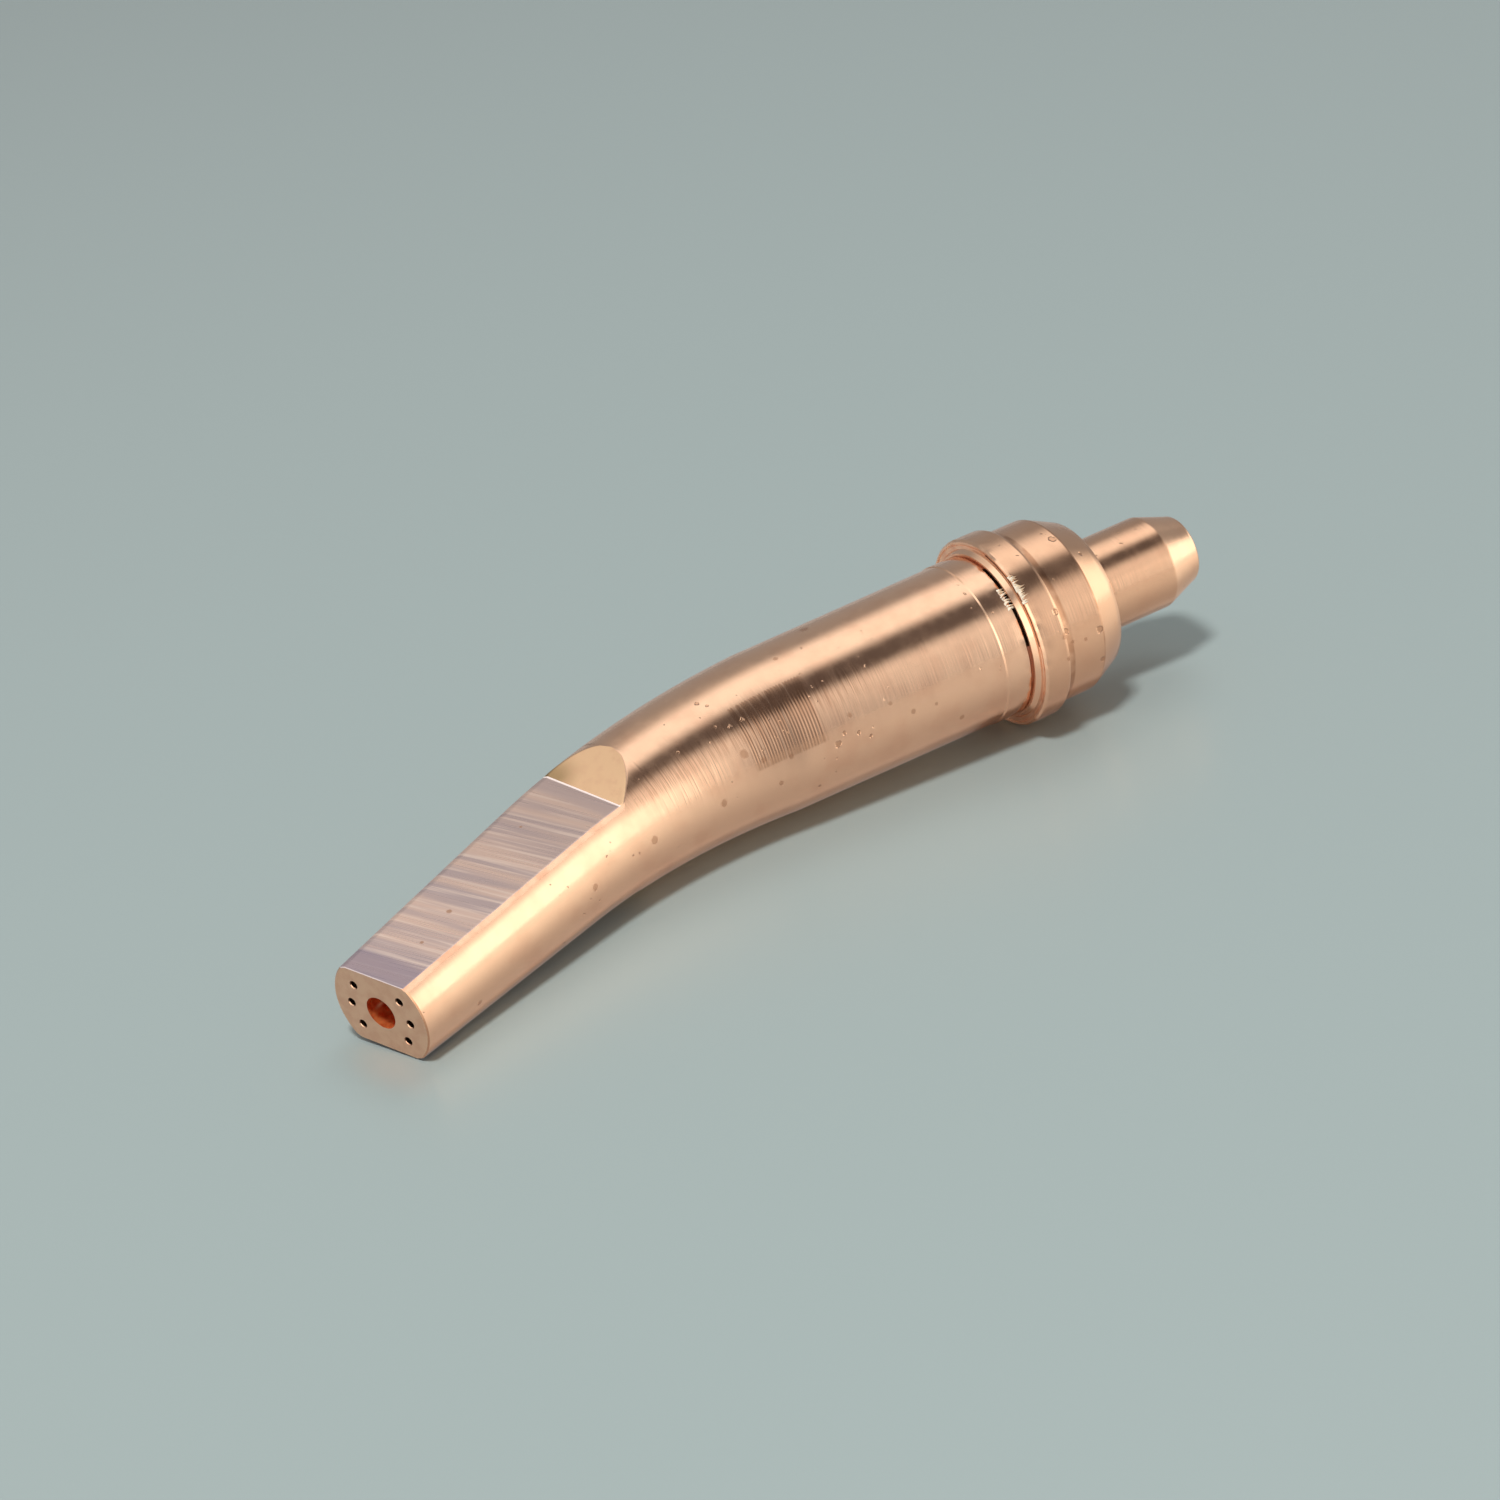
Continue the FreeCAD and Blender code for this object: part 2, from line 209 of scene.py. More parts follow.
def head_stations():
    """(t, radius) of the rings from the pilot's end to the flange's rim."""
    rows = []
    for k in range(ROUND_N + 1):
        a = k / ROUND_N * math.pi / 2
        rows.append((PILOT_END + PILOT_ROUND * (1 - math.cos(a)),
                     PILOT_END_R - PILOT_ROUND * (1 - math.sin(a))))
    taper = (PILOT_R - PILOT_END_R) / PILOT_TAPER
    rows += [(PILOT_EDGE - PILOT_BREAK, PILOT_R - PILOT_BREAK * taper),
             (PILOT_EDGE + BESIDE, PILOT_R)]
    rows += [(t, PILOT_R) for t in spread(PILOT_EDGE + 2 * PILOT_BREAK, CONE_REAR, PILOT_STEP)]
    rows += [(CONE_REAR, CONE_END_R - BESIDE), (CONE_REAR + BREAK, CONE_END_R)]
    cone = spread(CONE_REAR + 2 * BREAK, CONE_FRONT - ASIDE, HEAD_STEP) + [CONE_FRONT - BREAK]
    rows += [(t, mix(CONE_END_R, HEAD_R, (t - CONE_REAR) / CONE_LEN)) for t in cone]
    head = spread(CONE_FRONT + ASIDE, -FLANGE_LEN - FLANGE_SIDE, HEAD_STEP)
    rows += [(t, HEAD_R) for t in [CONE_FRONT + BREAK] + head]
    rows += [(-FLANGE_LEN - BESIDE, HEAD_R + BREAK), (-FLANGE_LEN, HEAD_R + FLANGE_FOOT)]
    return rows


def flange_stations():
    """(t, radius) of the rings round the flange, its front and the undercut."""
    cut, corner = (1 + CORNER) * FLANGE_CHAMFER, CORNER * FLANGE_CHAMFER
    rows = [(-FLANGE_LEN, FLANGE_R - cut), (-FLANGE_LEN + corner, FLANGE_R - corner),
            (-FLANGE_LEN + cut, FLANGE_R)]
    side = 1.5 * FLANGE_CHAMFER
    rim = spread(-FLANGE_LEN + side + corner, -side, FLANGE_STEP)
    rows += [(t, FLANGE_R) for t in rim + [-FLANGE_CHAMFER]]
    rows.append((0.0, FLANGE_R - FLANGE_CHAMFER))
    rows += zip((0.0, -RIM_LINE_DEPTH), RIM_LINE_OUTER)
    rows += zip((-RIM_LINE_DEPTH, 0.0), RIM_LINE_INNER)
    rows += [(0.0, BOSS_FOOT_R), (BOSS_H, BOSS_R), (BOSS_H, GAP_R), (GAP_FOOT, UNDERCUT_R)]
    rows += [(UNDERCUT_W, UNDERCUT_R), (UNDERCUT_W, COLLAR_R - COLLAR_CHAMFER)]
    return rows


def body_stations():
    """(t, radius) of the rings from the collar to the front face."""
    rim, step_front = UNDERCUT_W + COLLAR_CHAMFER, COLLAR_LEN - COLLAR_STEP
    collar = [rim] + spread(rim + BESIDE, step_front - BESIDE, HEAD_STEP) + [step_front]
    rows = [(t, COLLAR_R) for t in collar]
    body = [COLLAR_LEN] + spread(COLLAR_LEN + BESIDE, BEND_START, BODY_STEP)
    body += spread(BEND_START, RAMP_TOP - RAMP_BEHIND, BEND_STEP)[1:]
    body += spread(RAMP_TOP + RAMP_AHEAD, FLAT_ROOT, RAMP_STEP)
    body += spread(FLAT_ROOT, TIP_END - FRONT_CHAMFER, FRONT_STEP)[1:]
    rows += [(t, body_radius(t)) for t in body]
    rows.append((TIP_END, FRONT_R - FRONT_CHAMFER))
    return rows


# Material places of the skin, in the order in which the materials are made
BODY, FLAT, FACE, BORE, RAMP, GROOVE, HOLLOW_SHADE, CURL = range(8)

bm = bmesh.new()
straight = bm.verts.layers.float_vector.new("straight")


def add_point(t, y, z):
    """New point of the skin, which keeps its unbent place for the materials."""
    v = bm.verts.new(place(t, y, z))
    v[straight] = Vector((t, y, z))
    return v


def join(a, b, material):
    """Wall of quads between two closed loops of equal length."""
    n = len(a)
    for i in range(n):
        j = (i + 1) % n
        corners = []
        for v in (a[i], a[j], b[j], b[i]):
            if v not in corners:
                corners.append(v)
        if len(corners) > 2:
            f = bm.faces.new(corners)
            f.smooth = True
            f.material_index = material(i) if callable(material) else material


def loop(t, y, z, r, count):
    """Circle of points round (y, z) in the section at t."""
    turns = [2 * math.pi * i / count for i in range(count)]
    return [add_point(t, y + r * math.cos(a), z + r * math.sin(a)) for a in turns]


# First and last step round the ring where the gap behind the collar gets painted shade, the dark
# material of the passages
GAP_SHADE = (0.63 * SIDE_N, SIDE_N + 0.45 * TOP_N)


def wall_material(t, r):
    """Material of the wall ahead of (t, r) for each place round the ring."""
    on_flange_front = -2 * RIM_LINE_DEPTH < t < UNDERCUT_W - SAME_PLACE
    hollow = t < -SAME_PLACE or r < GAP_R + SAME_PLACE
    on_boss = abs(r - BOSS_FOOT_R) < SAME_PLACE
    past_root = t > FLAT_ROOT - SAME_PLACE
    half = SIDE_N + TOP_N + 2

    def pick(i):
        if on_flange_front:
            # painted shade in the gap behind the collar
            if hollow and GAP_SHADE[0] < i < GAP_SHADE[1]:
                return HOLLOW_SHADE
            return BODY if on_boss else GROOVE
        if t < RAMP_TOP or i % half <= SIDE_N:
            return GROOVE if i == SIDE_N and past_root else BODY
        return FLAT if past_root else RAMP
    return pick


NICK_DEPTH, NICK_INSET = 0.05, 0.02     # how rough the front rims are, and how far set in
NICKS_ROUND, NICKS_ALONG = 14.0, 2.0    # how closely the nicks follow each other


def nicks(t, r, angle):
    """How far the front rims of the flange and collar depart from round, mm."""
    on_flange = -2 * FLANGE_CHAMFER <= t <= 0.0 and r > HEAD_R
    rim_end = UNDERCUT_W + COLLAR_CHAMFER + BESIDE
    on_collar = UNDERCUT_W <= t < rim_end + SAME_PLACE and r > UNDERCUT_R
    if not (on_flange or on_collar):
        return 0.0
    where = Vector((math.cos(angle) * NICKS_ROUND, math.sin(angle) * NICKS_ROUND,
                    t * NICKS_ALONG))
    return NICK_DEPTH * noise.noise(where) - NICK_INSET


def ring_points(t, r):
    """Points of the section at t; neighbours at one place share a point."""
    made, places = [], []
    for y, z, a in ring(t, r):
        grown = 1 + nicks(t, r, a) / r
        y, z = y * grown, z * grown
        same = [k for k in (-1, 0) if places and math.dist(places[k], (y, z)) < SAME_PLACE]
        made.append(made[same[0]] if same else add_point(t, y, z))
        places.append((y, z))
    return made


rows = head_stations() + flange_stations() + body_stations()
rings = [ring_points(t, r) for t, r in rows]


def fill(loops, material):
    """Flat face between an outer loop and the holes in it."""
    edges = []
    for points in loops:
        n = len(points)
        for i in range(n):
            a, b = points[i], points[(i + 1) % n]
            if a is not b:
                edges.append(bm.edges.get((a, b)) or bm.edges.new((a, b)))
    made = bmesh.ops.triangle_fill(bm, use_beauty=True, use_dissolve=False, edges=edges)
    for f in made["geom"]:
        if isinstance(f, bmesh.types.BMFace):
            f.material_index = material
            f.smooth = False


# Angles of the six preheat passages, and points round each kind of hole
TURNS = [sign * HOLE_PITCH + turn for turn in (0.0, math.pi) for sign in (-1, 0, 1)]
HOLE_N, BORE_N, FEED_N = 20, 48, 24
LIP = 0.07                      # size of the lip round each preheat hole, mm
# The stretch below is painted lit with the paler groove copper; the rest of the lip is painted
# shade
LIP_PAINTED_LIT = (0.52, 0.80)          # stretch of the lip that catches the light, in turns
BORE_CONE = 0.4                 # length of the step from the bore to the inlet, mm
FEED_SHARES = (0.25, 0.5, 0.75, 0.97)   # shares of a feed passage that have a ring

# Walls between the rings; the face round the pilot has the six feed mouths in it
feed_mouths = [loop(CONE_REAR, FEED_RING_R * math.cos(a), FEED_RING_R * math.sin(a),
                    FEED_R, FEED_N) for a in TURNS]
for (t, r), (t_next, _), a, b in zip(rows, rows[1:], rings, rings[1:]):
    if t == t_next == CONE_REAR:
        fill([a, b] + feed_mouths, BODY)
    else:
        join(a, b, wall_material(t, r))

# Front face with the bore and six preheat holes
bore_mouth = loop(TIP_END, 0, 0, BORE_R, BORE_N)
hole_mouths = [loop(TIP_END, RING_R * math.cos(a), RING_R * math.sin(a), HOLE_R, HOLE_N)
               for a in TURNS]
fill([rings[-1], bore_mouth] + hole_mouths, FACE)

# Oxygen bore from the front face back to the pilot end
bore_end, inlet_end = PILOT_END + INLET_DEPTH, PILOT_END + INLET_CHAMFER
bore_rows = [(t, BORE_R) for t in spread(bore_end + BORE_CONE, TIP_END, BORE_STEP)[-2::-1]]
bore_rows.append((bore_end, INLET_R))
bore_rows += [(t, INLET_R) for t in spread(inlet_end, bore_end, INLET_STEP)[-2::-1]]
bore_rows.append((PILOT_END, INLET_R + INLET_CHAMFER))
last = bore_mouth
for t, r in bore_rows:
    ring_now = loop(t, 0, 0, r, BORE_N)
    join(last, ring_now, BORE)
    last = ring_now
fill([rings[0], last], BODY)


def lip(i):
    """Material round a hole mouth: its lower far side is painted lit with the paler groove copper,
    the rest is painted shade.
    """
    return GROOVE if LIP_PAINTED_LIT[0] < i / HOLE_N < LIP_PAINTED_LIT[1] else HOLLOW_SHADE


def passage(mouth, rows):
    """Blind tube from a mouth through rows of (t, y, z, r)."""
    last = mouth
    for t, y, z, r in rows:
        ring_now = loop(t, y, z, r, len(mouth))
        join(last, ring_now, lip if r < HOLE_R else HOLLOW_SHADE)
        last = ring_now
    bm.faces.new(last).material_index = HOLLOW_SHADE


for a, mouth in zip(TURNS, hole_mouths):
    y, z = math.cos(a), math.sin(a)
    passage(mouth, [(TIP_END - LIP, RING_R * y, RING_R * z, HOLE_R - LIP)]
            + [(t, RING_R * y, RING_R * z, HOLE_R)
               for t in spread(BEND_START, TIP_END - 2 * LIP, HOLE_STEP)[::-1]])
for a, mouth in zip(TURNS, feed_mouths):
    y, z = math.cos(a), math.sin(a)
    feed_rows = []
    for u in FEED_SHARES:
        reach = mix(FEED_RING_R, RING_R, u)
        feed_rows.append((mix(CONE_REAR, BEND_START, u), reach * y, reach * z, FEED_R))
    passage(mouth, feed_rows)

# Curls of metal left by the tool: start t and radius, first and last angle, run, rise
CURL_ROWS = ((UNDERCUT_W + 0.5, COLLAR_R - 0.03, 45, 60, 1.0, 0.40),
             (0.12, FLANGE_R - 0.08, 43, 61, 1.1, 0.42))
CURL_N = 20                     # curls in a row
CURL_CREST = 0.4                # share of its run where a curl is highest
curls = random.Random(5)


def curl(t, r, turn, run, wide, rise):
    """Thin spike of raised metal that starts at t and runs back over the edge."""
    a, half, lean = math.radians(turn), wide / r / 2, curls.uniform(-0.01, 0.01)
    corners = ((t, r, a - half), (t, r, a + half), (t - run, r, a + 3 * lean),
               (t - CURL_CREST * run, r + rise, a + lean))
    made = [add_point(ct, cr * math.cos(ca), cr * math.sin(ca)) for ct, cr, ca in corners]
    for side in ((0, 1, 3), (1, 2, 3), (2, 0, 3), (0, 2, 1)):
        bm.faces.new([made[k] for k in side]).material_index = CURL


for start, r, low, high, run, rise in CURL_ROWS:
    for n in range(CURL_N):
        curl(t=start + curls.uniform(-0.1, 0.1), r=r,
             turn=mix(low, high, n / (CURL_N - 1)) + curls.uniform(-0.4, 0.4),
             run=run * curls.uniform(0.4, 1.2), wide=curls.uniform(0.16, 0.34),
             rise=rise * curls.uniform(0.3, 1.0))

SHARP_ANGLE = math.radians(24)          # a steeper edge is shaded as an edge
bmesh.ops.recalc_face_normals(bm, faces=bm.faces)
mesh = bpy.data.meshes.new("tip_skin")
bm.to_mesh(mesh)
bm.free()
mesh.set_sharp_from_angle(angle=SHARP_ANGLE)
tip = bpy.data.objects.new("tip_skin", mesh)
bpy.context.scene.collection.objects.link(tip)


# Materials
class Graph:
    """Short way to write a node tree."""

    def __init__(self, tree):
        self.tree = tree

    def node(self, kind, **settings):
        """New node with the given settings."""
        made = self.tree.nodes.new(kind)
        for name, value in settings.items():
            setattr(made, name, value)
        return made

    def plug(self, source, target):
        """Link from an output to an input."""
        self.tree.links.new(source, target)

    def feed(self, socket, value):
        """Give an input a plain value or another node's output."""
        if isinstance(value, bpy.types.NodeSocket):
            self.plug(value, socket)
        else:
            socket.default_value = value

    def math(self, operation, a, b=0.0):
        """Result of one sum."""
        made = self.node("ShaderNodeMath", operation=operation)
        self.feed(made.inputs[0], a)
        self.feed(made.inputs[1], b)
        return made.outputs[0]

    def plus(self, a, b):
        return self.math("ADD", a, b)

    def less(self, a, b):
        return self.math("SUBTRACT", a, b)

    def times(self, a, b):
        return self.math("MULTIPLY", a, b)

    def most(self, a, b):
        return self.math("MAXIMUM", a, b)

    def split(self, vector):
        """The three coordinates of a vector."""
        made = self.node("ShaderNodeSeparateXYZ")
        self.plug(vector, made.inputs[0])
        return made.outputs

    def scaled(self, vector, scale, shift=(0, 0, 0), turn=(0, 0, 0)):
        """The vector scaled, turned and shifted."""
        made = self.node("ShaderNodeMapping")
        self.plug(vector, made.inputs["Vector"])
        made.inputs["Scale"].default_value = scale
        made.inputs["Location"].default_value = shift
        made.inputs["Rotation"].default_value = turn
        return made.outputs[0]

    def noise(self, vector, scale, detail=2.0):
        """Cloudy values round one half, with so many features per unit."""
        made = self.node("ShaderNodeTexNoise")
        self.plug(vector, made.inputs["Vector"])
        made.inputs["Scale"].default_value = scale
        made.inputs["Detail"].default_value = detail
        return made.outputs["Fac"]

    def range(self, value, low, high, to_low=0.0, to_high=1.0):
        """Smooth step from to_low at low to to_high at high."""
        made = self.node("ShaderNodeMapRange", interpolation_type="SMOOTHSTEP")
        self.plug(value, made.inputs["Value"])
        for name, number in (("From Min", low), ("From Max", high),
                             ("To Min", to_low), ("To Max", to_high)):
            made.inputs[name].default_value = number
        return made.outputs["Result"]

    def blend(self, factor, a, b):
        """Colour a where the factor is 0, colour b where it is 1."""
        made = self.node("ShaderNodeMix", data_type="RGBA")
        for index, value in ((0, factor), (6, a), (7, b)):
            self.feed(made.inputs[index], value)
        return made.outputs[2]

    def merged(self, factor, a, b):
        """Shader a where the factor is 0, shader b where it is 1."""
        made = self.node("ShaderNodeMixShader")
        for index, source in enumerate((factor, a, b)):
            self.plug(source, made.inputs[index])
        return made.outputs[0]


# Colours of the copper
COPPER, TARNISH, STAIN = (0.93, 0.585, 0.39, 1), (0.84, 0.48, 0.31, 1), (0.50, 0.25, 0.14, 1)
WORKED = (0.76, 0.43, 0.26, 1)          # copper of the head, rubbed by its seat
# The lilac of the flats is partly a painted reflection of the room overhead
LILAC, TAN, PALE = (0.58, 0.45, 0.44, 1), (0.86, 0.61, 0.50, 1), (1.0, 0.78, 0.66, 1)
HEATED, SHADED = (0.33, 0.27, 0.35, 1), (0.50, 0.35, 0.28, 1)       # front and root of a flat
# Painted highlight along the cut edges at both ends of a flat
EDGE_HIGHLIGHT = (1.0, 0.84, 0.78, 1)      # cut edges at both ends of a flat
RAMP_TAN, RAMP_BROWN = (0.95, 0.62, 0.38, 1), (0.46, 0.31, 0.16, 1)
FACED, FACED_DULL = (0.74, 0.50, 0.34, 1), (0.68, 0.43, 0.29, 1)
# Bore colours: the two reds are painted for light bounced many times inside the bore, the last
# colour is a painted highlight
BORE_RED, BORE_DEEP, BORE_HIGHLIGHT = (1.0, 0.30, 0.09, 1), (0.80, 0.13, 0.03, 1), (1.0, 0.78, 0.48, 1)
GROOVE_PALE, GROOVE_RED = (1.0, 0.62, 0.41, 1), (0.90, 0.48, 0.30, 1)
# Inside of the drilled passages and the gap behind the collar: painted shade, dark brown
HOLE_BROWN, HOLE_DARK = (0.16, 0.08, 0.05, 1), (0.10, 0.05, 0.03, 1)
# Pale colour of the curls: painted glints
CURL_GLINT = (1.0, 0.86, 0.68, 1)
MICRON = 1e-6                   # metres

# Brown stains and small dents: t, degrees round the spine, half width, mm
STAINS = ((37.2, 4, 0.42), (46.6, 8, 0.48), (55.4, 6, 0.36), (33.2, 30, 0.5), (30.0, -2, 0.3),
          (24.6, 84, 0.28), (19.6, 104, 0.5), (71.4, -16, 0.3), (14.4, 8, 0.28), (11.8, 6, 0.2),
          (31.4, 20, 0.34), (28.2, 14, 0.3), (21.0, 24, 0.28), (9.0, -14, 0.3), (-5.4, 8, 0.22),
          (-2.7, 33, 0.26), (-2.8, 17, 0.36), (-2.8, 3, 0.3), (-3.9, 10, 0.2), (16.6, 20, 0.22))
DENTS = ((23.0, 8, 0.36), (22.1, 14, 0.2), (19.4, 4, 0.2), (20.6, 10, 0.22), (34.2, 80, 0.24),
         (33.6, 74, 0.16), (-7.1, 76, 0.4), (-2.6, 32, 0.3), (-3.4, 18, 0.3), (-7.2, 10, 0.4),
         (-7.3, -12, 0.34), (-8.8, 60, 0.24), (-9.4, 88, 0.22), (39.4, 54, 0.13), (25.4, -20, 0.2))
FLAT_STAINS = ((67.7, 0.2, 0.30), (72.2, 0.8, 0.2), (55.0, -1.8, 0.16))     # t, y, half width
# Marks of the tools and the painted highlight in the bore: from and to along t, and in degrees
# round it
CHATTER_T, CHATTER_TURN = (23.9, 32.3), (14, 63)
CHATTER_PITCH = 0.34            # mm
SCRATCHED_T, SCRATCHED_TURN = (36.5, 45.5), (0, 44)
COMBED_T, COMBED_TURN = (17.0, 47.0), (36, 54)
BORE_HIGHLIGHT_T, BORE_HIGHLIGHT_TURN = (TIP_END - 2.0, TIP_END - 1.0), (-163, -154)


def skin_radius(t):
    """Radius of the outer skin at t, from the rows of rings."""
    for (t0, r0), (t1, r1) in zip(rows, rows[1:]):
        if t0 <= t <= t1 and t1 > t0:
            return mix(r0, r1, (t - t0) / (t1 - t0))
    return FRONT_R


def round_places(places):
    """(t, y, z, size) on the round skin for each (t, degrees, size)."""
    found = []
    for t, turn, size in places:
        r, a = skin_radius(t), math.radians(turn)
        found.append((t, r * math.cos(a), r * math.sin(a), size))
    return found


def spots(g, at, places, ragged=0.35):
    """1 on the given places, with a ragged rim."""
    wobble = g.times(g.less(g.noise(at, 2.4, 2.0), 0.5), ragged * 2)
    mask = 0.0
    for t, y, z, size in places:
        away = g.node("ShaderNodeVectorMath", operation="DISTANCE")
        g.plug(at, away.inputs[0])
        away.inputs[1].default_value = (t, y, z)
        reach = g.plus(g.math("DIVIDE", away.outputs["Value"], size), wobble)
        mask = g.most(mask, g.range(reach, 0.65, 1.15, 1.0, 0.0))
    return mask


def between(g, value, low, high, soft):
    """1 between low and high, with soft ends."""
    return g.times(g.range(value, low - soft, low + soft),
                   g.range(value, high - soft, high + soft, 1.0, 0.0))


def degrees_round(g, y, z):
    """Angle round the spine, in degrees."""
    return g.math("DEGREES", g.math("ARCTAN2", z, y))


def new_copper(name):
    """Metallic material with its graph, its shader and the straight coordinates."""
    material = bpy.data.materials.new(name)
    material.use_nodes = True
    g = Graph(material.node_tree)
    shader = material.node_tree.nodes["Principled BSDF"]
    shader.inputs["Metallic"].default_value = 1.0
    at = g.node("ShaderNodeAttribute", attribute_name="straight").outputs["Vector"]
    mesh.materials.append(material)
    return g, shader, at


def relief(g, shader, height):
    """Bump whose height is in microns."""
    bump = g.node("ShaderNodeBump")
    bump.inputs["Distance"].default_value = MICRON
    g.plug(height, bump.inputs["Height"])
    g.plug(bump.outputs["Normal"], shader.inputs["Normal"])


def streaks(g, at, across, along, detail=2.0):
    """Noise drawn out round the spine: features per mm across and along the cut."""
    return g.noise(g.scaled(at, (across, along, along)), 1.0, detail)


def lathe_relief(g, at):
    """Height of the turning lines and of the unevenness under them, microns."""
    worn = g.noise(at, 0.16, 3.0)
    height = g.plus(g.times(streaks(g, at, 1.6, 0.03, 3.0), 5.5),
                    g.times(streaks(g, at, 4.2, 0.10), g.range(worn, 0.35, 0.65, 2.0, 8.0)))
    return g.plus(height, g.times(g.noise(at, 0.35, 1.0), 12.0))


def bending_marks(g, at, t, turn):
    """Where the bending tool left chatter, and the height of its marks, microns."""
    chatter = g.times(between(g, t, *CHATTER_T, 0.4), between(g, turn, *CHATTER_TURN, 1.0))
    chatter = g.times(chatter, g.range(streaks(g, at, 2.6, 0.12), 0.32, 0.5))
    wave = g.math("SINE", g.times(t, 2 * math.pi / CHATTER_PITCH))
    scratched = g.times(between(g, t, *SCRATCHED_T, 1.0), between(g, turn, *SCRATCHED_TURN, 8.0))
    scratched = g.times(scratched, g.range(streaks(g, at, 3.4, 0.16, 1.0), 0.52, 0.62))
    return chatter, g.plus(g.times(g.times(wave, chatter), 4.0), g.times(scratched, 5.0))


def dark_edge_lines(g, at, t):
    """Darker lines where the cone and the flange meet the head, and round the front edge."""
    darker_lines = g.most(between(g, t, CONE_FRONT - 0.1, CONE_FRONT + 0.1, 0.06),
                  between(g, t, -FLANGE_LEN - 0.95, -FLANGE_LEN - 0.3, 0.12))
    darker_lines = g.times(darker_lines, g.range(streaks(g, at, 0.5, 0.5), 0.35, 0.6, 0.3, 0.8))
    return g.most(darker_lines, g.range(t, TIP_END - 0.15, TIP_END - 0.11, 0.0, 0.7))


def turned_copper():
    """Bright turned skin: lathe lines, bending marks, stains, dents and darker lines at the edges.
    """
    g, shader, at = new_copper("turned_copper")
    t, y, z = g.split(at)
    turn = degrees_round(g, y, z)
    chatter, marks = bending_marks(g, at, t, turn)
    pits = g.times(g.range(g.noise(at, 1.5), 0.70, 0.76),
                   g.range(g.noise(at, 0.22, 1.0), 0.48, 0.60))
    dents = g.most(spots(g, at, round_places(DENTS), 0.6), pits)
    height = g.less(g.plus(lathe_relief(g, at), marks), g.times(dents, 45.0))
    relief(g, shader, height)

    stains = g.times(spots(g, at, round_places(STAINS)), 0.55)
    colour = g.blend(g.range(g.noise(at, 0.30, 3.0), 0.42, 0.72, 0.0, 0.5), COPPER, TARNISH)
    worked = g.times(between(g, t, PILOT_EDGE, -0.25, 0.1), 0.5)
    colour = g.blend(worked, colour, WORKED)
    colour = g.blend(g.times(chatter, 0.52), colour, STAIN)
    combed = g.times(between(g, t, *COMBED_T, 3.0), between(g, turn, *COMBED_TURN, 6.0))
    combed = g.times(combed, g.range(streaks(g, at, 6.0, 0.20), 0.46, 0.60))
    colour = g.blend(g.times(combed, 0.42), colour, STAIN)
    colour = g.blend(dark_edge_lines(g, at, t), colour, STAIN)
    colour = g.blend(g.most(stains, g.times(dents, 0.55)), colour, STAIN)
    g.plug(colour, shader.inputs["Base Color"])

    dull = g.plus(g.range(g.noise(at, 0.7, 3.0), 0.35, 0.7, 0.14, 0.21), g.times(stains, 0.2))
    dull = g.plus(dull, g.range(t, -1.0, 1.0, 0.03, 0.0))
    bent = between(g, t, BEND_START + 8.0, BEND_END, 6.0)
    g.plug(g.plus(dull, g.times(bent, 0.05)), shader.inputs["Roughness"])


def milled_copper():
    """The two flats: bands across them, from lilac to pink tan; the lilac is partly a painted
    reflection of the room overhead.
    """
    g, shader, at = new_copper("milled_copper")
    t, y, z = g.split(at)
    slanted = g.node("ShaderNodeCombineXYZ")
    g.plug(g.plus(t, g.times(y, 0.10)), slanted.inputs[0])
    g.plug(y, slanted.inputs[1])
    g.plug(z, slanted.inputs[2])
    slanted = slanted.outputs[0]
    bands = streaks(g, slanted, 0.45, 0.03, 3.0)
    lines = streaks(g, slanted, 3.4, 0.08, 3.0)
    colour = g.blend(g.range(bands, 0.36, 0.62), LILAC, TAN)
    colour = g.blend(g.range(lines, 0.50, 0.72, 0.0, 0.8), colour, PALE)
    root = g.range(t, FLAT_ROOT + 1.6, FLAT_ROOT + 2.6, 0.75, 0.0)
    front = g.range(t, TIP_END - 3.6, TIP_END - 2.4, 0.0, 0.7)
    colour = g.blend(front, g.blend(root, colour, LILAC), HEATED)
    colour = g.blend(g.range(t, FLAT_ROOT, TIP_END - 2.0, 0.36, 0.0), colour, SHADED)
    stained = spots(g, at, [(st, sy, flat_height(st), size) for st, sy, size in FLAT_STAINS])
    colour = g.blend(g.times(stained, 0.75), colour, STAIN)
    # Painted highlight: a pale, less metallic strip along the cut edges at both ends of the flat
    ends = g.most(g.range(t, FLAT_ROOT + 0.16, FLAT_ROOT + 0.26, 1.0, 0.0),
                  g.range(t, TIP_END - 0.16, TIP_END - 0.08, 0.0, 0.6))
    colour = g.blend(ends, colour, EDGE_HIGHLIGHT)
    g.plug(colour, shader.inputs["Base Color"])
    g.plug(g.less(0.7, g.times(ends, 0.6)), shader.inputs["Metallic"])
    g.plug(g.range(lines, 0.3, 0.7, 0.26, 0.36), shader.inputs["Roughness"])
    height = g.plus(g.times(lines, 2.0), g.times(bands, 4.0))
    relief(g, shader, height)


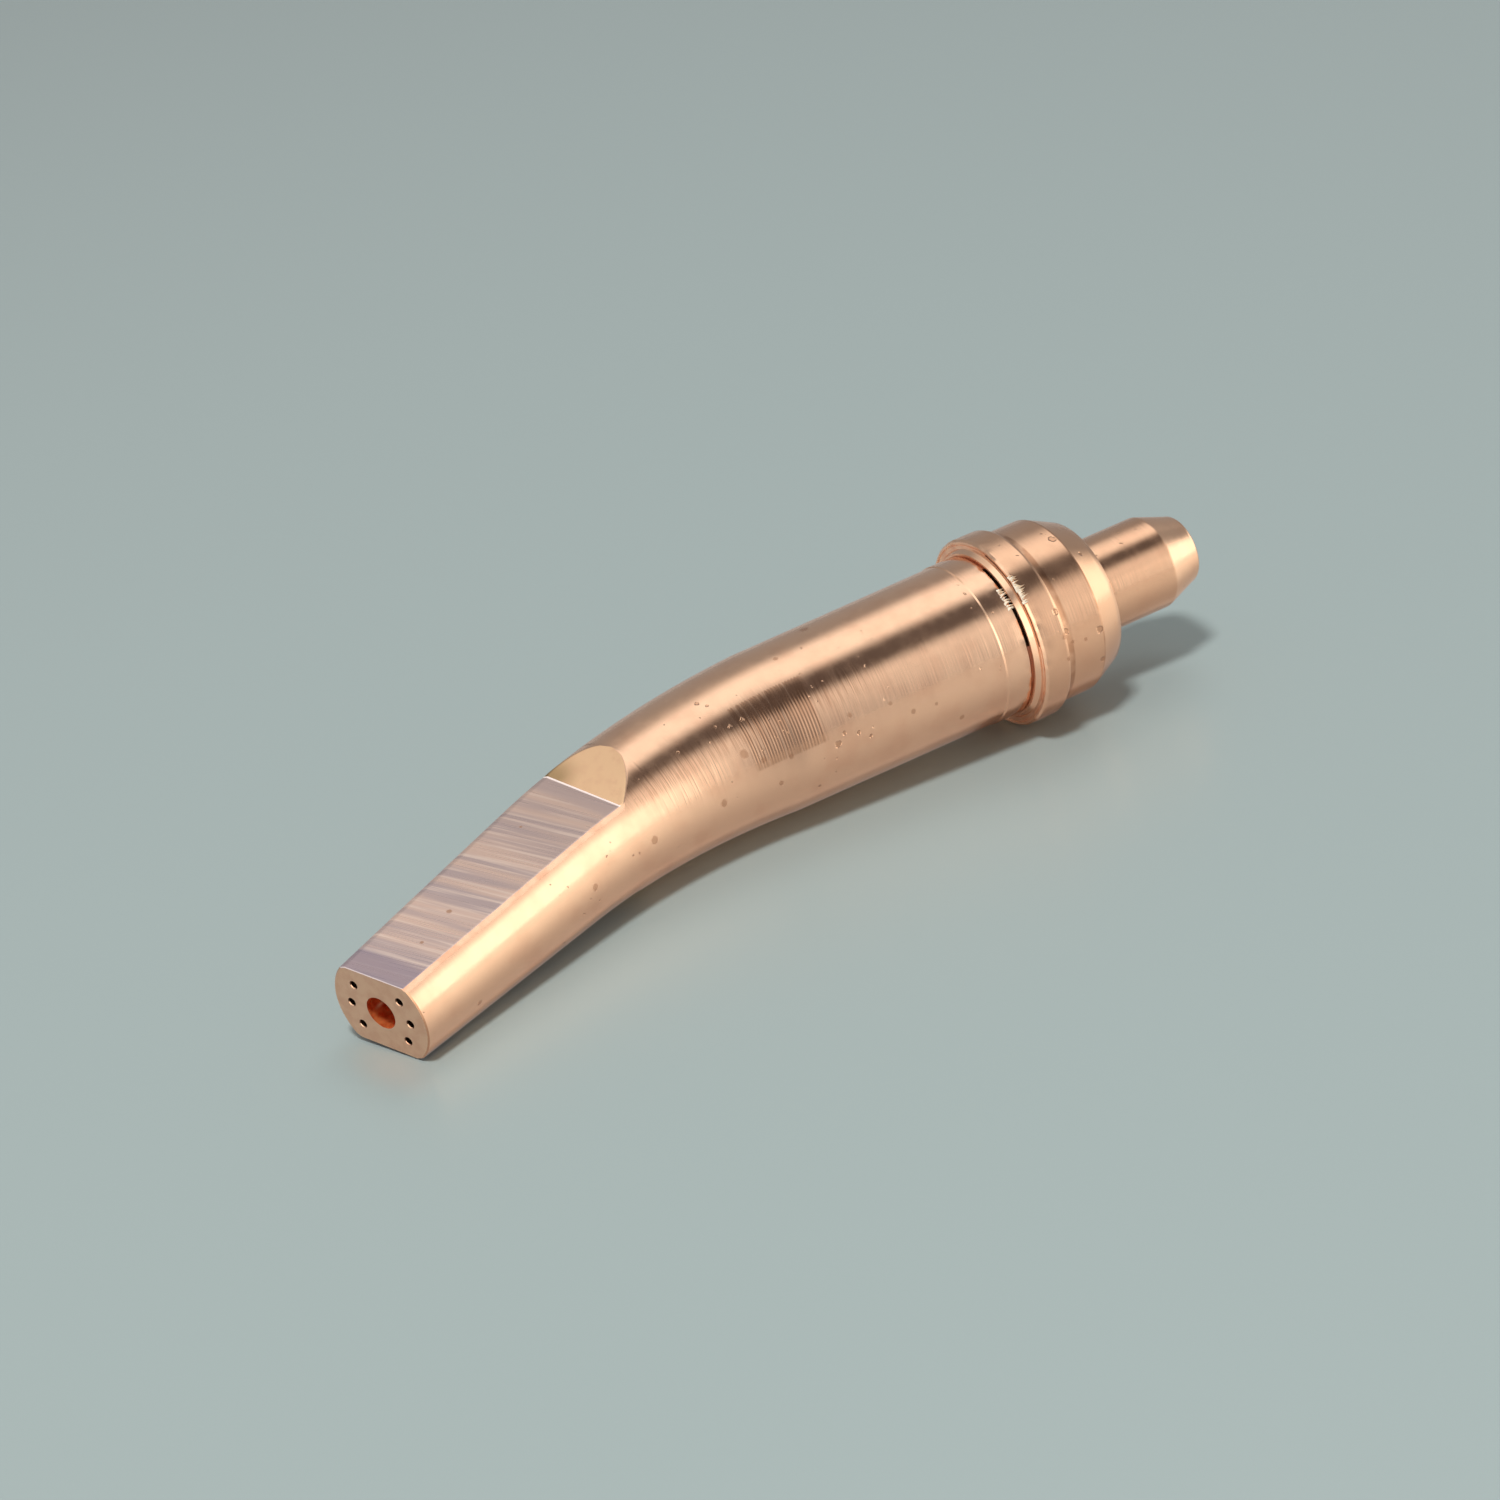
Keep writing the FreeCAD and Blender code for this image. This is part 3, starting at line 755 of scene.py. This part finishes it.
def ramp_copper():
    """The ramp that leads down to each flat: smooth and tan, browner at one foot."""
    g, shader, at = new_copper("ramp_copper")
    t, y, _ = g.split(at)
    brown = g.times(g.range(y, -0.8, -3.8), g.range(t, FLAT_ROOT - 2.6, FLAT_ROOT - 0.2))
    colour = g.blend(g.times(brown, 0.9), RAMP_TAN, RAMP_BROWN)
    cloud = g.range(g.noise(at, 0.8, 3.0), 0.45, 0.75, 0.0, 0.4)
    g.plug(g.blend(cloud, colour, TARNISH), shader.inputs["Base Color"])
    shader.inputs["Roughness"].default_value = 0.24
    relief(g, shader, g.times(streaks(g, at, 3.0, 0.1), 1.5))


def faced_copper():
    """Fine-turned front face, duller than the sides."""
    g, shader, at = new_copper("faced_copper")
    cloud = g.range(g.noise(at, 0.9, 3.0), 0.35, 0.7)
    g.plug(g.blend(cloud, FACED, FACED_DULL), shader.inputs["Base Color"])
    shader.inputs["Roughness"].default_value = 0.36
    relief(g, shader, g.times(g.noise(at, 5.0, 2.0), 1.0))


def bore_copper():
    """Oxygen bore: deep red painted for the light that bounces many times inside it, with one
    painted highlight.
    """
    g, shader, at = new_copper("bore_copper")
    cloud = g.range(g.noise(at, 1.6, 2.0), 0.35, 0.7)
    t, y, z = g.split(at)
    turn = degrees_round(g, y, z)
    # Painted highlight: a pale, less metallic streak on the bore wall
    highlight = g.times(between(g, t, *BORE_HIGHLIGHT_T, 0.45), between(g, turn, *BORE_HIGHLIGHT_TURN, 7.0))
    colour = g.blend(cloud, BORE_RED, BORE_DEEP)
    g.plug(g.blend(highlight, colour, BORE_HIGHLIGHT), shader.inputs["Base Color"])
    g.plug(g.less(0.6, g.times(highlight, 0.5)), shader.inputs["Metallic"])
    shader.inputs["Roughness"].default_value = 0.22
    relief(g, shader, g.times(streaks(g, at, 2.0, 0.1), 6.0))


def groove_copper():
    """Undercut and the front of the flange: plain turned, never polished."""
    g, shader, at = new_copper("groove_copper")
    shader.inputs["Metallic"].default_value = 0.65
    cloud = g.range(g.noise(at, 0.6, 3.0), 0.35, 0.7)
    g.plug(g.blend(cloud, GROOVE_PALE, GROOVE_RED), shader.inputs["Base Color"])
    shader.inputs["Roughness"].default_value = 0.26
    relief(g, shader, g.times(g.noise(at, 2.0, 3.0), 12.0))


def hollow_shade_copper():
    """Small drilled passages: painted shade, dark brown inside."""
    g, shader, at = new_copper("hollow_shade_copper")
    cloud = g.range(g.noise(at, 0.8, 2.0), 0.35, 0.7)
    g.plug(g.blend(cloud, HOLE_BROWN, HOLE_DARK), shader.inputs["Base Color"])
    shader.inputs["Roughness"].default_value = 0.45


def curled_copper():
    """Curls of metal, painted pale and half diffuse so that they show as glints, brighter than the
    skin.
    """
    g, shader, _ = new_copper("curled_copper")
    shader.inputs["Metallic"].default_value = 0.15
    shader.inputs["Base Color"].default_value = CURL_GLINT
    shader.inputs["Roughness"].default_value = 0.15


for make in (turned_copper, milled_copper, faced_copper, bore_copper, ramp_copper,
             groove_copper, hollow_shade_copper, curled_copper):
    make()

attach(tip, "root")
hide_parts("cutting_tip")

# Floor
FLOOR_HALF = 3.0                # metres
FLOOR, FLOOR_MIRRORED = (0.358, 0.428, 0.417, 1), (0.43, 0.425, 0.41, 1)
FLOOR_THROWN_LIGHT, FLOOR_GLOSS = (0.46, 0.44, 0.40, 1), (1, 0.99, 0.97, 1)
FLOOR_LIT = (0.49, 0.485, 0.465, 1)     # the table as the metal sees it, without a shadow
# Painted pool of light on the table before the front face
WARM_AT, WARM_SIZE = (0.0511, 0.0045), (0.0035, 0.0075)     # light thrown by the front face
LIT_FROM, LIT_TO = -0.036, -0.012       # x over which the metal sees more of that table
LIT_LEAST, LIT_MOST = 0.1, 0.45         # its share at either end
COLLAR_SHADE, COLLAR_SHADE_SOFT = (-0.0275, -0.0225), 0.0015    # x where it sees none
floor_mesh = bpy.data.meshes.new("floor")
floor_mesh.from_pydata([(x * FLOOR_HALF, y * FLOOR_HALF, 0.0)
                        for x, y in ((-1, -1), (1, -1), (1, 1), (-1, 1))], [], [(0, 1, 2, 3)])
floor = bpy.data.objects.new("floor", floor_mesh)
bpy.context.scene.collection.objects.link(floor)


def thrown_light(g, at):
    """1 on the patch of the table where a pool of light is painted, as the front face would throw
    it.
    """
    scale = (1 / WARM_SIZE[0], 1 / WARM_SIZE[1], 0.0)
    shift = (-WARM_AT[0] / WARM_SIZE[0], -WARM_AT[1] / WARM_SIZE[1], 0.0)
    away = g.node("ShaderNodeVectorMath", operation="LENGTH")
    g.plug(g.scaled(at, scale, shift), away.inputs[0])
    return g.range(away.outputs["Value"], 0.0, 1.0, 0.6, 0.0)


def lit_table(g, x, mirrored, plain):
    """The table as the metal sees it: partly a painted glow, lit right up to the foot of the tip
    with no shadow.
    """
    # painted light: the table glows for reflected rays in place of its shadow
    lit = g.node("ShaderNodeEmission")
    lit.inputs["Color"].default_value = FLOOR_LIT
    share = g.range(x, LIT_FROM, LIT_TO, LIT_LEAST, LIT_MOST)
    share = g.times(share, g.less(1.0, between(g, x, *COLLAR_SHADE, COLLAR_SHADE_SOFT)))
    return g.merged(g.times(mirrored, share), plain, lit.outputs[0])


def glossy_table(g, mirrored, plain):
    """The table, which the metal sees at a glancing angle mirroring the side lamp."""
    gloss = g.node("ShaderNodeBsdfAnisotropic")
    gloss.inputs["Color"].default_value = FLOOR_GLOSS
    gloss.inputs["Roughness"].default_value = 0.38
    glancing = g.node("ShaderNodeLayerWeight").outputs["Facing"]
    share = g.plus(g.times(g.math("POWER", glancing, 1.3), 0.85),
                   g.times(g.math("POWER", glancing, 12.0), 0.15))
    return g.merged(g.times(share, mirrored), plain, gloss.outputs[0])


def table_material():
    """Plain pale grey-green table."""
    material = bpy.data.materials.new("pale_floor")
    material.use_nodes = True
    g = Graph(material.node_tree)
    shader = material.node_tree.nodes["Principled BSDF"]
    shader.inputs["Roughness"].default_value = 0.32
    shader.inputs["Specular IOR Level"].default_value = 0.5
    mirrored = g.node("ShaderNodeLightPath").outputs["Is Glossy Ray"]
    at = g.node("ShaderNodeTexCoord").outputs["Object"]
    # painted pool of light thrown by the front face
    colour = g.blend(thrown_light(g, at), FLOOR, FLOOR_THROWN_LIGHT)
    g.plug(g.blend(mirrored, colour, FLOOR_MIRRORED), shader.inputs["Base Color"])
    surface = lit_table(g, g.split(at)[0], mirrored, shader.outputs[0])
    surface = glossy_table(g, mirrored, surface)
    g.plug(surface, material.node_tree.nodes["Material Output"].inputs["Surface"])
    return material


floor_mesh.materials.append(table_material())

# World: what polished metal mirrors, as azimuth, elevation, half sizes and soft edges in
# degrees, and colour
ROOM = (0.34, 0.345, 0.35, 1)
PATCHES = (
    (-75, 55, 26, 16, 12, 12, (0.80, 0.78, 0.74, 1)),       # pale wall behind
    (118, 66, 24, 17, 7, 4, (0.12, 0.11, 0.11, 1)),         # unlit ceiling
    (124, 18, 20, 28, 10, 9, (1.00, 0.98, 0.94, 1)),        # lit wall
    (146, 8, 28, 20, 14, 6, (1.85, 1.85, 1.72, 1)),         # lamp at the side
    (-20, 48, 16, 14, 6, 6, (1.40, 1.40, 1.36, 1)),         # lamp ahead
    (30, 12, 34, 22, 10, 8, (2.0, 1.95, 1.80, 1)),          # lit wall past the camera
    (30, 64, 16, 10, 8, 6, (1.50, 1.50, 1.45, 1)),          # main lamp
    (-153, 65, 16, 18, 8, 13, (1.26, 1.26, 1.24, 1)))       # lamp overhead
AMBIENT, BACKDROP = (0.36, 0.36, 0.36, 1), (0.37, 0.44, 0.42, 1)


def patch(g, heading, azimuth, elevation, half_wide, half_high, soft_wide, soft_high):
    """1 inside a soft-edged patch of the sky, 0 outside; degrees."""
    turned = g.scaled(heading, (1, 1, 1), turn=(0, 0, -math.radians(azimuth)))
    x, y, z = g.split(g.scaled(turned, (1, 1, 1), turn=(0, math.radians(elevation), 0)))
    ahead = g.most(x, 0.001)
    inside = g.range(x, 0.0, 0.05)
    for part, half, soft in ((y, half_wide, soft_wide), (z, half_high, soft_high)):
        reach = g.math("ABSOLUTE", g.math("DIVIDE", part, ahead))
        low = math.tan(math.radians(max(half - soft, 0.0)))
        high = math.tan(math.radians(half + soft))
        inside = g.times(inside, g.range(reach, low, high, 1.0, 0.0))
    return inside


def light_room():
    """World with a plain ambient light, a backdrop like the table, and the mirrored room."""
    world = bpy.data.worlds.new("studio")
    bpy.context.scene.world = world
    world.use_nodes = True
    g = Graph(world.node_tree)
    heading = g.node("ShaderNodeTexCoord").outputs["Generated"]
    mirrored = ROOM
    for *place_and_size, colour in PATCHES:
        mirrored = g.blend(patch(g, heading, *place_and_size), mirrored, colour)
    path = g.node("ShaderNodeLightPath")
    plain = g.blend(path.outputs["Is Camera Ray"], AMBIENT, BACKDROP)
    background = world.node_tree.nodes["Background"]
    g.plug(g.blend(path.outputs["Is Glossy Ray"], plain, mirrored), background.inputs["Color"])


light_room()


# Lamps
def lamp(name, azimuth, elevation, distance, size, power):
    """Soft square lamp aimed at the tip; degrees, metres and watts."""
    data = bpy.data.lights.new(name, "AREA")
    data.size = size
    data.energy = power
    lit = bpy.data.objects.new(name, data)
    a, e = math.radians(azimuth), math.radians(elevation)
    way = Vector((math.cos(e) * math.cos(a), math.cos(e) * math.sin(a), math.sin(e)))
    lit.location = way * distance
    lit.rotation_euler = (-way).to_track_quat("-Z", "Y").to_euler()
    lit.visible_camera = False
    lit.visible_glossy = False
    bpy.context.scene.collection.objects.link(lit)


lamp("lamp_main", azimuth=37, elevation=67, distance=1.0, size=0.14, power=6.6)
lamp("lamp_overhead", azimuth=-150, elevation=60, distance=0.8, size=0.40, power=0.9)

# Camera, metres; the lens is in millimetres
CAMERA_AT = Vector((0.164573, 0.208143, 0.146440))
CAMERA_AIM = Vector((0.004603, 0.000985, 0.010351))
CAMERA_ROLL = math.radians(-7.946)
CAMERA_SENSOR, CAMERA_LENS, CAMERA_NEAR = 36.0, 74.565, 0.01
camera_data = bpy.data.cameras.new("camera")
camera_data.sensor_width = CAMERA_SENSOR
camera_data.lens = CAMERA_LENS
camera_data.clip_start = CAMERA_NEAR
camera = bpy.data.objects.new("camera", camera_data)
look = (CAMERA_AIM - CAMERA_AT).to_track_quat("-Z", "Y").to_matrix().to_4x4()
camera.matrix_world = (Matrix.Translation(CAMERA_AT) @ look
                       @ Matrix.Rotation(CAMERA_ROLL, 4, "Z"))
bpy.context.scene.collection.objects.link(camera)
bpy.context.scene.camera = camera

bpy.context.scene.view_settings.view_transform = "Standard"
